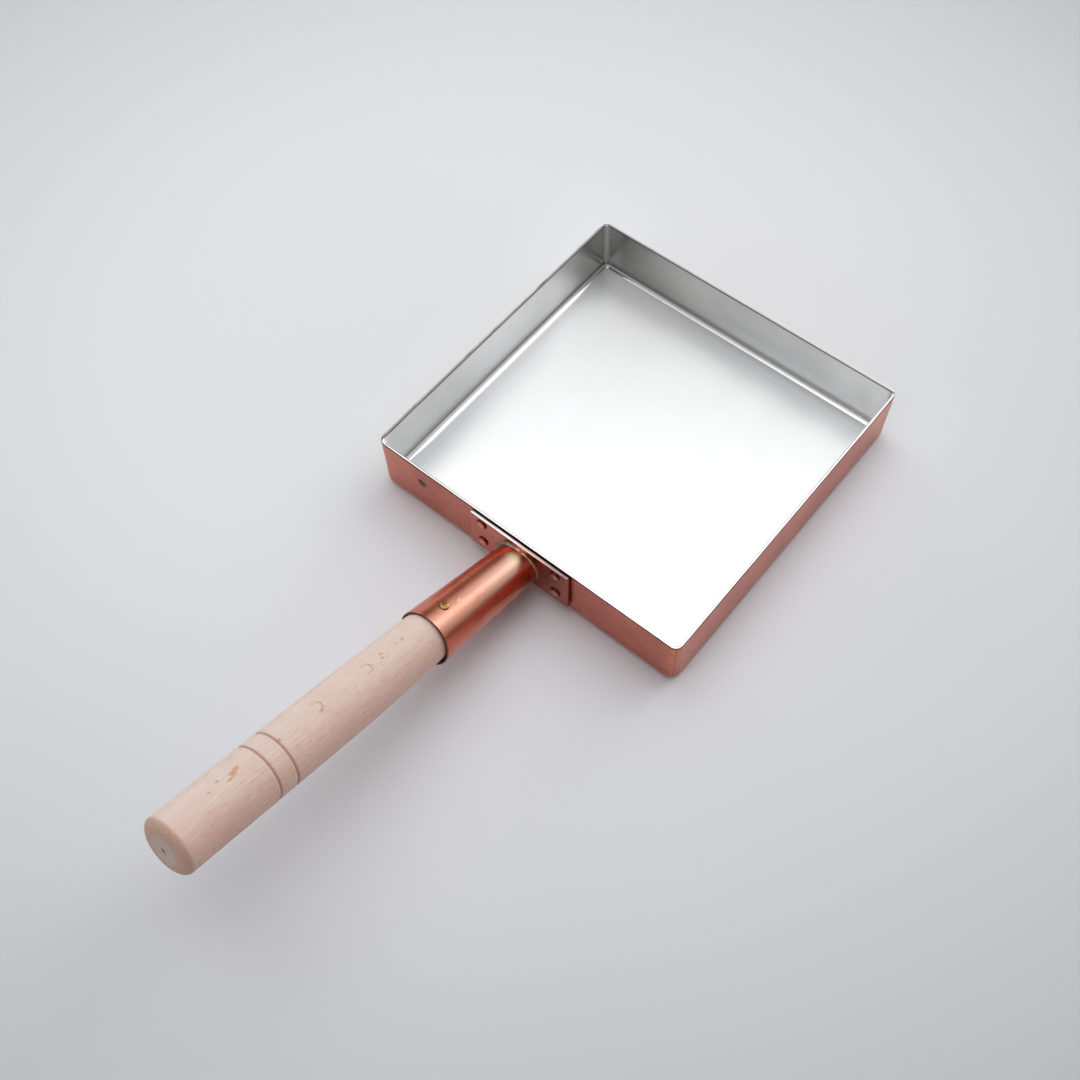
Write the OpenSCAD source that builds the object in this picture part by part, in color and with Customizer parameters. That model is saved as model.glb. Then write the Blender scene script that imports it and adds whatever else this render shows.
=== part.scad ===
// Tamagoyaki pan: a square copper pan tinned inside, with a riveted handle plate,
// a tapered socket brazed to the plate, and a turned wooden grip held by one nail.
// The origin is the centre of the pan's underside, +Z is up and the handle leaves
// the pan along -Y. Lengths are in millimetres and angles in degrees.

/* [Pan] */
// Outside width of the pan, across the line of the handle
body_w = 180; // [140:0.5:240]
// Outside length of the pan, along the line of the handle
body_l = 179.5; // [140:0.5:240]
// Height of the pan from its underside to its rim
body_h = 34; // [31:0.5:60]
// Thickness of the copper sheet
sheet_t = 1.3; // [0.8:0.1:2]
// Thickness of the tin on the inside
tin_t = 0.2; // [0.1:0.05:0.5]
// Outside radius of the bend between the floor and the walls
bend_r = 4.5; // [3:0.1:5.2]
// Outside radius of the four upright corners
corner_r = 5.5; // [5.4:0.1:25]

/* [Handle plate] */
// Width of the plate along the wall
plate_w = 59; // [52:0.5:90]
// Height of the plate
plate_h = 27; // [26.5:0.5:29.5]
// Thickness of the plate
plate_t = 1.5; // [1:0.1:3]
// Radius of the plate's corners
plate_corner_r = 0.8; // [0.3:0.1:2.5]
// Distance from the rim down to the plate's top edge
plate_drop = 0.75; // [0:0.25:3]
// Gap between the plate and the wall away from the rivets
plate_gap = 0.5; // [0.1:0.1:1]
// Diameter of the low seats round the rivet holes, on which the plate meets the wall
plate_seat_d = 7; // [5:0.1:7.2]

/* [Rivets] */
// Distance between the left and the right rivets
rivet_pitch_w = 44; // [38:0.5:50]
// Distance between the lower and the upper rivets
rivet_pitch_h = 15.5; // [12:0.5:18]
// Distance from the plate's top edge down to the upper rivets
rivet_drop = 4.2; // [3.6:0.1:5.5]
// Diameter of a rivet's shank
rivet_shank_d = 3; // [2:0.1:4]
// Diameter of a rivet's domed head outside
rivet_head_d = 5.6; // [4.8:0.1:6.2]
// Height of a rivet's domed head outside
rivet_head_h = 1.3; // [0.6:0.1:2]
// Diameter of a rivet's flat dome inside the pan
rivet_tail_d = 6.2; // [5:0.1:7]
// Height of a rivet's flat dome inside the pan
rivet_tail_h = 0.7; // [0.4:0.1:1.5]
// Clearance round a rivet's shank in its holes
rivet_play = 0.05; // [0.02:0.01:0.2]

/* [Socket] */
// Angle of the handle above the horizontal
handle_tilt = 17.5; // [10:0.5:25]
// Distance from the plate's top edge down to the handle's axis
socket_drop = 15.8; // [14:0.1:16]
// Length of the socket along its axis, from the plate to its mouth
socket_len = 67; // [50:0.5:90]
// Outside diameter of the socket at the plate
socket_root_d = 22.9; // [18:0.1:23]
// Outside diameter of the socket at its mouth
socket_mouth_d = 27.7; // [24:0.1:32]
// Thickness of the socket's sheet
socket_t = 1.2; // [0.8:0.1:2]
// Width of the braze round the socket, on the plate
braze_w = 0.8; // [0.5:0.1:1.8]

/* [Grip] */
// Length of the grip outside the socket
grip_len = 147.8; // [110:0.1:190]
// Largest diameter of the grip
grip_d = 26.9; // [24:0.1:32]
// Length over which the grip swells to its largest diameter
grip_swell_len = 68; // [20:1:80]
// Length of the rounding at the grip's end
grip_round_len = 4; // [2:0.1:12]
// Diameter of the flat face at the grip's end
grip_face_d = 15.5; // [8:0.5:22]
// Distance from the plate to the inner end of the tenon that fills the socket
tenon_setback = 14; // [8:0.5:25]
// Chamfer round the inner end of the tenon
tenon_chamfer = 1; // [0.3:0.1:2]
// Clearance round the tenon at its inner end
tenon_play = 0.1; // [0.05:0.05:0.3]
// Clearance round the grip at the socket's mouth
mouth_play = 0.45; // [0.2:0.05:1]
// Number of turned grooves round the grip
groove_count = 2; // [1:1:6]
// Distance from the socket's mouth to the first groove
groove_start = 90.1; // [25:0.1:95]
// Distance between the grooves
groove_pitch = 9.3; // [3:0.1:10]
// Width of a groove
groove_w = 1.3; // [0.6:0.1:2]
// Depth of a groove
groove_depth = 0.45; // [0.2:0.05:1]
// Diameter of the lathe centre's mark in the grip's end face
centre_mark_d = 2.4; // [1:0.1:4]
// Depth of the lathe centre's mark
centre_mark_depth = 0.8; // [0.3:0.1:2]

/* [Nail] */
// Distance from the socket's mouth to the nail
nail_inset = 11; // [6:0.5:20]
// Diameter of the nail's domed head
nail_head_d = 4.5; // [3:0.1:6]
// Height of the nail's domed head above the socket
nail_head_h = 0.9; // [0.5:0.1:1.5]
// Height of the straight rim below the dome of the nail's head
nail_rim_h = 0.2; // [0.2:0.05:0.4]
// Diameter of the nail's shank
nail_shank_d = 2; // [1.2:0.1:3]
// Length of the nail's shank below the top of the socket
nail_len = 11.5; // [6:0.5:12]
// Length of the nail's point
nail_point_len = 2; // [1:0.5:4]
// Clearance round the nail's shank in its holes
nail_play = 0.04; // [0.02:0.01:0.1]

/* [Hidden] */
$fn = 96;
// How far a cutting shape reaches past the face that it cuts
over = 1;
// Number of straight steps in each curve of the grip's outline
outline_steps = 12;
// Share of the braze's leg by which its hollow arc bites into the socket
braze_bite = 0.2;

wall_y = -body_l / 2;
plate_back_y = wall_y - plate_gap;
plate_face_y = plate_back_y - plate_t;
plate_top_z = body_h - plate_drop;
inside_y = wall_y + sheet_t + tin_t;
axis_z = plate_top_z - socket_drop;

rivet_x = rivet_pitch_w / 2;
rivet_rows = [plate_top_z - rivet_drop - rivet_pitch_h, plate_top_z - rivet_drop];
rivet_grip = inside_y - plate_face_y;
// Name, side and row of each rivet, with side -1 for the left and row 0 for the lower
RIVETS = [
    ["rivet_left_lower", -1, 0],
    ["rivet_left_upper", -1, 1],
    ["rivet_right_lower", 1, 0],
    ["rivet_right_upper", 1, 1]
];

socket_taper = (socket_mouth_d - socket_root_d) / 2 / socket_len;
function socket_r(s) = socket_root_d / 2 + socket_taper * s;
function bore_r(s) = socket_r(s) - socket_t;

// The grip's stations lie along the handle's axis, counted from the plate's face
grip_end = socket_len + grip_len;
round_start = grip_end - grip_round_len;
grip_r = grip_d / 2;
neck_r = bore_r(socket_len) - mouth_play;
tenon_r = bore_r(tenon_setback) - tenon_play;
grip_face_r = grip_face_d / 2;
nail_s = socket_len - nail_inset;

// Places its children with +Z along the handle's axis and +Y on its upper side
module along_handle() {
    translate([0, plate_face_y, axis_z])
        rotate([90 - handle_tilt, 0, 0])
            children();
}

// Everything on the pan's side of the plate's outer face
module behind_plate_face() {
    depth = socket_len;
    translate([-depth, plate_face_y, axis_z - depth])
        cube(2 * depth);
}

// Shallow dome of diameter d and height h, standing on z = 0
module dome(d, h) {
    r = (d * d / 4 + h * h) / (2 * h);
    intersection() {
        translate([0, 0, h - r]) sphere(r = r);
        cylinder(d = d, h = h);
    }
}

// Filled section of the pan behind a skin that lies inset from the outer one.
// x runs outward from an upright corner's axis and y runs up.
module filled_section(inset, top) {
    w = corner_r - inset;
    r = bend_r - inset;
    translate([0, inset + r]) square([w, top - inset - r]);
    translate([0, inset]) square([w - r, r]);
    intersection() {
        translate([w - r, inset + r]) circle(r = r);
        translate([w - r, inset]) square(r);
    }
}

// Section of one layer of sheet, t thick, with its outer skin at inset
module layer_section(inset, t) {
    difference() {
        filled_section(inset, body_h);
        filled_section(inset + t, body_h + over);
    }
}

// One layer of the pan: a floor, four straight walls and four round corners
module shell_layer(inset, t) {
    half = [body_w / 2 - corner_r, body_l / 2 - corner_r];
    translate([-half.x, -half.y, inset]) cube([2 * half.x, 2 * half.y, t]);
    for (k = [0:3]) {
        reach = k % 2 == 0 ? half.x : half.y;
        along = k % 2 == 0 ? half.y : half.x;
        rotate([0, 0, 90 * k]) {
            translate([reach, 0, 0])
                rotate([90, 0, 0])
                    linear_extrude(height = 2 * along, center = true)
                        layer_section(inset, t);
            translate([reach, along, 0])
                rotate_extrude(angle = 90)
                    layer_section(inset, t);
        }
    }
}

// Places its children at a rivet, with +Z pointing out of the plate's face
module at_rivet(side, row) {
    translate([side * rivet_x, plate_face_y, rivet_rows[row]])
        rotate([90, 0, 0])
            children();
}

// Holes for all rivets through plate, wall and lining
module rivet_holes() {
    for (r = RIVETS)
        at_rivet(r[1], r[2])
            translate([0, 0, -rivet_grip - over])
                cylinder(d = rivet_shank_d + 2 * rivet_play, h = rivet_grip + 2 * over);
}

// Copper body: floor and walls from one sheet, with holes for the rivets
module pan_body() {
    color("#b87059")
        difference() {
            shell_layer(0, sheet_t);
            rivet_holes();
        }
}

// Tin on the whole inside, up to the rim
module tin_lining() {
    color("#d9d9d6")
        difference() {
            shell_layer(sheet_t, tin_t);
            rivet_holes();
        }
}

// Plate that carries the socket, with a low seat on its back round each rivet hole
module handle_plate() {
    color("#b06a55")
        difference() {
            union() {
                translate([0, plate_back_y, plate_top_z - plate_h / 2])
                    rotate([90, 0, 0])
                        linear_extrude(height = plate_t)
                            rounded_rectangle(plate_w, plate_h, plate_corner_r);
                for (r = RIVETS)
                    at_rivet(r[1], r[2])
                        translate([0, 0, -plate_t - plate_gap])
                            cylinder(d = plate_seat_d, h = plate_gap + plate_t / 2);
            }
            rivet_holes();
        }
}

// Rectangle w by h about the origin, with corners of radius r
module rounded_rectangle(w, h, r) {
    square([w - 2 * r, h], center = true);
    square([w, h - 2 * r], center = true);
    for (x = [-1, 1], y = [-1, 1])
        translate([x * (w / 2 - r), y * (h / 2 - r)]) circle(r = r);
}

// Rivet with a domed head outside, a shank and a flat dome inside the pan
module rivet(side, row) {
    color("#bd7862")
        at_rivet(side, row) {
            dome(rivet_head_d, rivet_head_h);
            translate([0, 0, -rivet_grip])
                cylinder(d = rivet_shank_d, h = rivet_grip);
            translate([0, 0, -rivet_grip])
                mirror([0, 0, 1])
                    dome(rivet_tail_d, rivet_tail_h);
        }
}

// Solid cone in the shape of the socket's outside, from start to end along the axis
module socket_envelope(start, end) {
    translate([0, 0, start])
        cylinder(r1 = socket_r(start), r2 = socket_r(end), h = end - start);
}

// Tapered tube, cut to the plate's face at its root and square at its mouth
module handle_socket() {
    root = -socket_root_d / 2;
    past = socket_len + over;
    color("#b5684f")
        difference() {
            along_handle()
                difference() {
                    socket_envelope(root, socket_len);
                    translate([0, 0, root - over])
                        cylinder(r1 = bore_r(root - over), r2 = bore_r(past), h = past - root + over);
                    nail_hole();
                }
            behind_plate_face();
        }
}

// Concave ring of braze between the socket and the plate, stopped by the plate's edge
module braze_bead() {
    root_r = socket_root_d / 2;
    outer = root_r / cos(handle_tilt) + braze_w;
    leg = outer - root_r;
    // The hollow arc ends on the plate at the ring's outer edge and bites into the socket
    hollow_x = outer + braze_w / 2;
    hollow_r = hollow_x - root_r + braze_bite * leg;
    hollow_z = sqrt(hollow_r * hollow_r - braze_w * braze_w / 4);
    plate_bottom_z = plate_top_z - plate_h;
    color("#b9b59a")
        difference() {
            translate([0, plate_face_y, axis_z])
                rotate([90, 0, 0])
                    rotate_extrude()
                        difference() {
                            square([hollow_x, hollow_z]);
                            translate([hollow_x, hollow_z]) circle(r = hollow_r);
                        }
            along_handle() socket_envelope(-root_r, socket_len);
            translate([-2 * outer, plate_face_y - 2 * outer, plate_bottom_z - 2 * outer])
                cube([4 * outer, 4 * outer, 2 * outer]);
        }
}

// Radius of the grip at station s, from the neck to the largest diameter
function swell_r(s) =
    neck_r + (grip_r - neck_r) * sin(90 * min(1, (s - socket_len) / grip_swell_len));

// Half outline of the grip: tenon, neck, swell, straight and rounded end
grip_outline = concat(
    [[0, tenon_setback],
     [tenon_r - tenon_chamfer, tenon_setback],
     [tenon_r, tenon_setback + tenon_chamfer]],
    [for (k = [0:outline_steps]) let (s = socket_len + grip_swell_len * k / outline_steps) [swell_r(s), s]],
    [for (k = [0:outline_steps]) let (a = 90 * k / outline_steps)
        [grip_face_r + (grip_r - grip_face_r) * cos(a), round_start + grip_round_len * sin(a)]],
    [[0, grip_end]]
);

// Hole for the nail through the top of the socket and into the tenon
module nail_hole() {
    top = socket_r(nail_s) + over;
    translate([0, top, nail_s])
        rotate([90, 0, 0])
            cylinder(d = nail_shank_d + 2 * nail_play, h = nail_len + over + nail_play);
}

// Round-bottomed groove at station s
module groove(s) {
    centre_r = swell_r(s) + groove_w / 2 - groove_depth;
    rotate_extrude() {
        translate([centre_r, s]) circle(d = groove_w);
        translate([centre_r, s - groove_w / 2]) square([over + groove_depth, groove_w]);
    }
}

// Turned wooden grip with its tenon in the socket
module handle_grip() {
    color("#dcbfa8")
        along_handle()
            difference() {
                rotate_extrude() polygon(grip_outline);
                for (k = [0:groove_count - 1])
                    groove(socket_len + groove_start + k * groove_pitch);
                translate([0, 0, grip_end - centre_mark_depth])
                    cylinder(d1 = 0, d2 = centre_mark_d * 2, h = centre_mark_depth * 2);
                nail_hole();
            }
}

// Brass nail through the top of the socket into the tenon
module handle_nail() {
    seat = socket_r(nail_s);
    straight_len = nail_len - nail_point_len;
    color("#cfae4e")
        along_handle()
            translate([0, seat, nail_s])
                rotate([90, 0, 0]) {
                    difference() {
                        mirror([0, 0, 1]) {
                            translate([0, 0, -over])
                                cylinder(d = nail_head_d, h = over + nail_rim_h);
                            translate([0, 0, nail_rim_h])
                                dome(nail_head_d, nail_head_h - nail_rim_h);
                        }
                        rotate([-90, 0, 0])
                            translate([0, -seat, -nail_s])
                                socket_envelope(0, socket_len);
                    }
                    translate([0, 0, -nail_rim_h / 2])
                        cylinder(d = nail_shank_d, h = straight_len + nail_rim_h / 2);
                    translate([0, 0, straight_len])
                        cylinder(d1 = nail_shank_d, d2 = 0, h = nail_point_len);
                }
}

pan_body();
tin_lining();
handle_plate();
handle_socket();
braze_bead();
handle_grip();
handle_nail();
for (r = RIVETS)
    rivet(r[1], r[2]);
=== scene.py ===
import math
import bpy
import bmesh
from mathutils import Matrix, Vector, noise


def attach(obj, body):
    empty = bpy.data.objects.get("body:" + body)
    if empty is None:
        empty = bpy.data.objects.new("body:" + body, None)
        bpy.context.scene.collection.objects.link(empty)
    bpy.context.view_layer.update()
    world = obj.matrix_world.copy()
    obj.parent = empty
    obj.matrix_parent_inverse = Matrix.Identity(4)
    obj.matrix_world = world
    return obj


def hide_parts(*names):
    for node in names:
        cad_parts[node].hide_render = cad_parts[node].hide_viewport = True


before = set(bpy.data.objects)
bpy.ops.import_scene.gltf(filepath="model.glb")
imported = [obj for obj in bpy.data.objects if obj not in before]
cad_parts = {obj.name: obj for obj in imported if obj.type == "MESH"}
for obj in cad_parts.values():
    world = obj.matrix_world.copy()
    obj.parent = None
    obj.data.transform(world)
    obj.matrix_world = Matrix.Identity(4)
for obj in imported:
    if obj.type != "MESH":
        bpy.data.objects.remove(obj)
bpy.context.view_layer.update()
scene = bpy.context.scene

# Sizes in millimetres, in the frame of the CAD model
MM = 0.001
HALF_X, HALF_Y, HEIGHT = 90.0, 89.75, 34.0
SHEET, TIN = 1.3, 0.2
FULL = SHEET + TIN
BEND_R, INNER_BEND, FILLET_R = 4.5, 2.0, 2.2
RIM_ROUND = 0.45
# Plan radius of the corners low down and at the rim: right, back, left, near
CORNER_FOOT, CORNER_RIM = (5.8, 4.7, 5.8, 5.8), (3.4, 4.7, 4.8, 4.2)
# Steps round the pan, and the share of each quarter that its straight side takes
SIDE_STEPS, CORNER_STEPS, BEND_STEPS, FILLET_STEPS = 56, 12, 9, 16
SIDE_SHARE = 0.9
WALL_Z = [*range(6, 31, 3), 32, 33.1]
FLOOR_SCALES = (0.02, 0.2, 0.4, 0.6, 0.75, 0.86, 0.93, 0.97)
BACK_LEAN = 0.7

PLATE_T, PLATE_W, PLATE_H, PLATE_CORNER_R = 1.5, 59.0, 27.0, 0.9
PLATE_DROP, PLATE_GAP, PLATE_BOW = 0.75, 0.5, 0.12
PLATE_TOP = HEIGHT - PLATE_DROP
PLATE_FACE_Y = -(HALF_Y + PLATE_GAP + PLATE_T)
PLATE_SCALES = (0.02, 0.2, 0.4, 0.6, 0.8, 0.93)
PLATE_CORNERS = ((1, -1), (1, 1), (-1, 1), (-1, -1))
SEAT_R, SEAT_STEPS = 3.4, 40

RIVET_X, RIVET_ROWS = 22.0, (13.55, 29.05)
RIVETS = {
    f"rivet_{side}_{row}": (x, z)
    for side, x in (("left", -RIVET_X), ("right", RIVET_X))
    for row, z in zip(("lower", "upper"), RIVET_ROWS)
}
HEAD_R, HEAD_H, TAIL_R, TAIL_H, RIVET_STEPS = 2.9, 1.2, 3.1, 0.68, 40

AXIS_Z, TILT = 17.45, math.radians(17.5)
ROOT_R, MOUTH_R, SOCKET_LEN, SOCKET_T = 11.45, 13.85, 67.0, 1.2
TAPER = (MOUTH_R - ROOT_R) / SOCKET_LEN
SOCKET_STEPS, SOCKET_ROWS, BORE_ROWS, INTO_PLATE = 200, 120, 30, 0.5
# Small mark beside the nail: angle round the handle and station along it
DENT_ANGLE, DENT_S, DENT_R = math.radians(84), 48.6, 0.55

BEAD_STEPS, BEAD_ACROSS = 220, 12
BEAD_START, BEAD_END = math.radians(-62), math.radians(242)

TENON_S, TENON_R = 14.0, 10.6
NECK_R, BELLY_R, GRIP_END, ROUND_START, FACE_R = 12.2, 13.42, 214.7, 210.9, 7.8
GRIP_STEPS, ROUND_STEPS, SWELL_LEN = 144, 18, 66
GROOVES = (157.1, 166.4)
GROOVE_DEEP, GROOVE_WIDE = 0.62, 0.62
NAIL_S, NAIL_R, NAIL_STEPS = 56.0, 2.25, 48

MARK_X, MARK_Z = -62.1, 22.9
SMUDGE_X, SMUDGE_Z = 75.0, 19.0
# Middle of the wood's surface, where an angle round the grip becomes a length
WOOD_R = 13.3
# Spots in the wood, listed: station, angle, length, width and whether only a ring shows
WOOD_SPOTS = (
    (82.5, 93, 1.6, 0.8, False), (86.5, 94, 0.9, 0.7, False), (95.3, 96, 1.3, 0.8, False),
    (96.5, 88, 1.2, 0.8, False), (106.3, 90, 3.2, 2.4, True), (135.0, 92, 3.2, 2.6, True),
    (156.0, 88, 1.0, 1.3, False), (176.8, 98, 2.4, 1.3, False), (179.4, 93, 1.8, 2.0, False),
    (181.8, 88, 1.5, 0.8, False), (186.0, 100, 1.3, 0.8, False), (191.5, 93, 1.1, 0.6, False),
)
# Frame of the handle: Z along its axis, Y on its upper side
HANDLE = (Matrix.Translation((0, PLATE_FACE_Y * MM, AXIS_Z * MM))
          @ Matrix.Rotation(math.pi / 2 - TILT, 4, "X"))


def wobble(x, y, z, scale, seed=0.0):
    """Smooth noise from -1 to 1 at a place in millimetres."""
    return noise.noise(Vector((x / scale + seed, y / scale - 2.3 * seed, z / scale + 0.7 * seed)))


def lerp(a, b, t):
    return a + (b - a) * t


def smoothstep(a, b, x):
    t = min(1.0, max(0.0, (x - a) / (b - a)))
    return t * t * (3 - 2 * t)


def srgb(r, g, b):
    def lin(c):
        c /= 255
        return c / 12.92 if c <= 0.04045 else ((c + 0.055) / 1.055) ** 2.4

    return (lin(r), lin(g), lin(b), 1.0)


def tinted(tint, red, green=None, blue=None):
    """A colour times one factor, or times one for each channel."""
    factors = (red, red if green is None else green, red if blue is None else blue)
    return tuple(min(1, c * f) for c, f in zip(tint[:3], factors)) + (1,)


# Shader helpers


class Nodes:
    """Short ways to add nodes to one node tree."""

    def __init__(self, tree):
        self.tree = tree
        self.tree.nodes.clear()

    def add(self, kind, settings=None, **inputs):
        n = self.tree.nodes.new(kind)
        for key, value in (settings or {}).items():
            setattr(n, key, value)
        for key, value in inputs.items():
            self.put(n.inputs[key.replace("_", " ")], value)
        return n

    def put(self, socket, value):
        if isinstance(value, bpy.types.NodeSocket):
            self.tree.links.new(value, socket)
        else:
            socket.default_value = value

    def math(self, op, a, b=None, c=None, clamp=False):
        n = self.add("ShaderNodeMath", {"operation": op, "use_clamp": clamp})
        for i, v in enumerate((a, b, c)):
            if v is not None:
                self.put(n.inputs[i], v)
        return n.outputs[0]

    def times(self, first, *others):
        for other in others:
            first = self.math("MULTIPLY", first, other)
        return first

    def plus(self, a, b, clamp=False):
        return self.math("ADD", a, b, clamp=clamp)

    def minus(self, a, b, clamp=False):
        return self.math("SUBTRACT", a, b, clamp=clamp)

    def most(self, a, b):
        return self.math("MAXIMUM", a, b)

    def size(self, a):
        return self.math("ABSOLUTE", a)

    def apart(self, a, b):
        return self.size(self.minus(a, b))

    def about(self, texture, amount):
        """A texture from 0 to 1 as a change up and down."""
        return self.times(self.minus(texture, 0.5), amount)

    def vec(self, op, a, b=None, scale=None):
        n = self.add("ShaderNodeVectorMath", {"operation": op})
        self.put(n.inputs[0], a)
        if scale is not None:
            self.put(n.inputs["Scale"], scale)
        if b is not None:
            self.put(n.inputs[1], b)
        return n.outputs["Value" if op in ("LENGTH", "DOT_PRODUCT", "DISTANCE") else "Vector"]

    def xyz(self, x, y, z):
        return self.add("ShaderNodeCombineXYZ", X=x, Y=y, Z=z).outputs[0]

    def length(self, x, y, z):
        return self.vec("LENGTH", self.xyz(x, y, z))

    def ramp(self, x, lo, hi, out_lo=0.0, out_hi=1.0):
        """A smooth step from out_lo at lo to out_hi at hi."""
        n = self.add("ShaderNodeMapRange", {"interpolation_type": "SMOOTHSTEP"})
        names = ("Value", "From Min", "From Max", "To Min", "To Max")
        for key, value in zip(names, (x, lo, hi, out_lo, out_hi)):
            self.put(n.inputs[key], value)
        return n.outputs["Result"]

    def flip(self, mask):
        return self.ramp(mask, 1, 0)

    def noise(self, vector, scale=1.0, detail=2.0, rough=0.5):
        n = self.add("ShaderNodeTexNoise", Vector=vector, Scale=scale, Detail=detail, Roughness=rough)
        return n.outputs["Fac"]

    def mix(self, fac, a, b, blend="MIX"):
        n = self.add("ShaderNodeMix", {"data_type": "RGBA", "blend_type": blend})
        self.put(n.inputs[0], fac)
        self.put(n.inputs[6], a)
        self.put(n.inputs[7], b)
        return n.outputs[2]

    def mixf(self, fac, a, b):
        n = self.add("ShaderNodeMix", {"data_type": "FLOAT"})
        self.put(n.inputs[0], fac)
        self.put(n.inputs[2], a)
        self.put(n.inputs[3], b)
        return n.outputs[0]

    def bump(self, height, strength, distance, normal=None):
        n = self.add("ShaderNodeBump", Height=height, Strength=strength, Distance=distance)
        if normal is not None:
            self.put(n.inputs["Normal"], normal)
        return n.outputs["Normal"]


class Shader(Nodes):
    """One material, with its place in millimetres in the frame of the pan or of the handle."""

    def __init__(self, name, handle=False):
        self.material = bpy.data.materials.new(name)
        self.material.use_nodes = True
        super().__init__(self.material.node_tree)
        coords = self.add("ShaderNodeTexCoord")
        self.mm = self.vec("MULTIPLY", coords.outputs["Object"], (1000, 1000, 1000))
        if handle:
            away = self.vec("SUBTRACT", self.mm, (0, PLATE_FACE_Y, AXIS_Z))
            turn = {"rotation_type": "X_AXIS"}
            turned_place = self.add("ShaderNodeVectorRotate", turn, Vector=away, Angle=TILT - math.pi / 2)
            self.mm = turned_place.outputs[0]
        self.x, self.y, self.z = self.add("ShaderNodeSeparateXYZ", Vector=self.mm).outputs

    def stretched(self, kx, ky, kz):
        return self.xyz(self.times(self.x, kx), self.times(self.y, ky), self.times(self.z, kz))

    def upward(self):
        """How far the surface faces up, from -1 to 1."""
        normal = self.add("ShaderNodeNewGeometry").outputs["Normal"]
        return self.add("ShaderNodeSeparateXYZ", Vector=normal).outputs[2]

    def angle(self):
        """Angle round the handle: 90 degrees on top, with the seam at the bottom."""
        return self.minus(math.pi / 2, self.math("ARCTAN2", self.x, self.y))

    def outside(self, theta, middle, inner, outer):
        """0 within inner degrees of a middle angle, 1 beyond outer degrees."""
        away = self.apart(theta, math.radians(middle))
        return self.ramp(away, math.radians(inner), math.radians(outer))

    def corner_reach(self, inset):
        """How far a place is past the start of a corner, along X and along Y."""
        ax = self.minus(self.size(self.x), HALF_X - inset)
        ay = self.minus(self.size(self.y), HALF_Y - inset)
        return ax, ay

    def finish(self, **inputs):
        n = self.add("ShaderNodeBsdfPrincipled", **inputs)
        out = self.add("ShaderNodeOutputMaterial")
        self.tree.links.new(n.outputs[0], out.inputs[0])
        return self.material


# Tin


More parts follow.
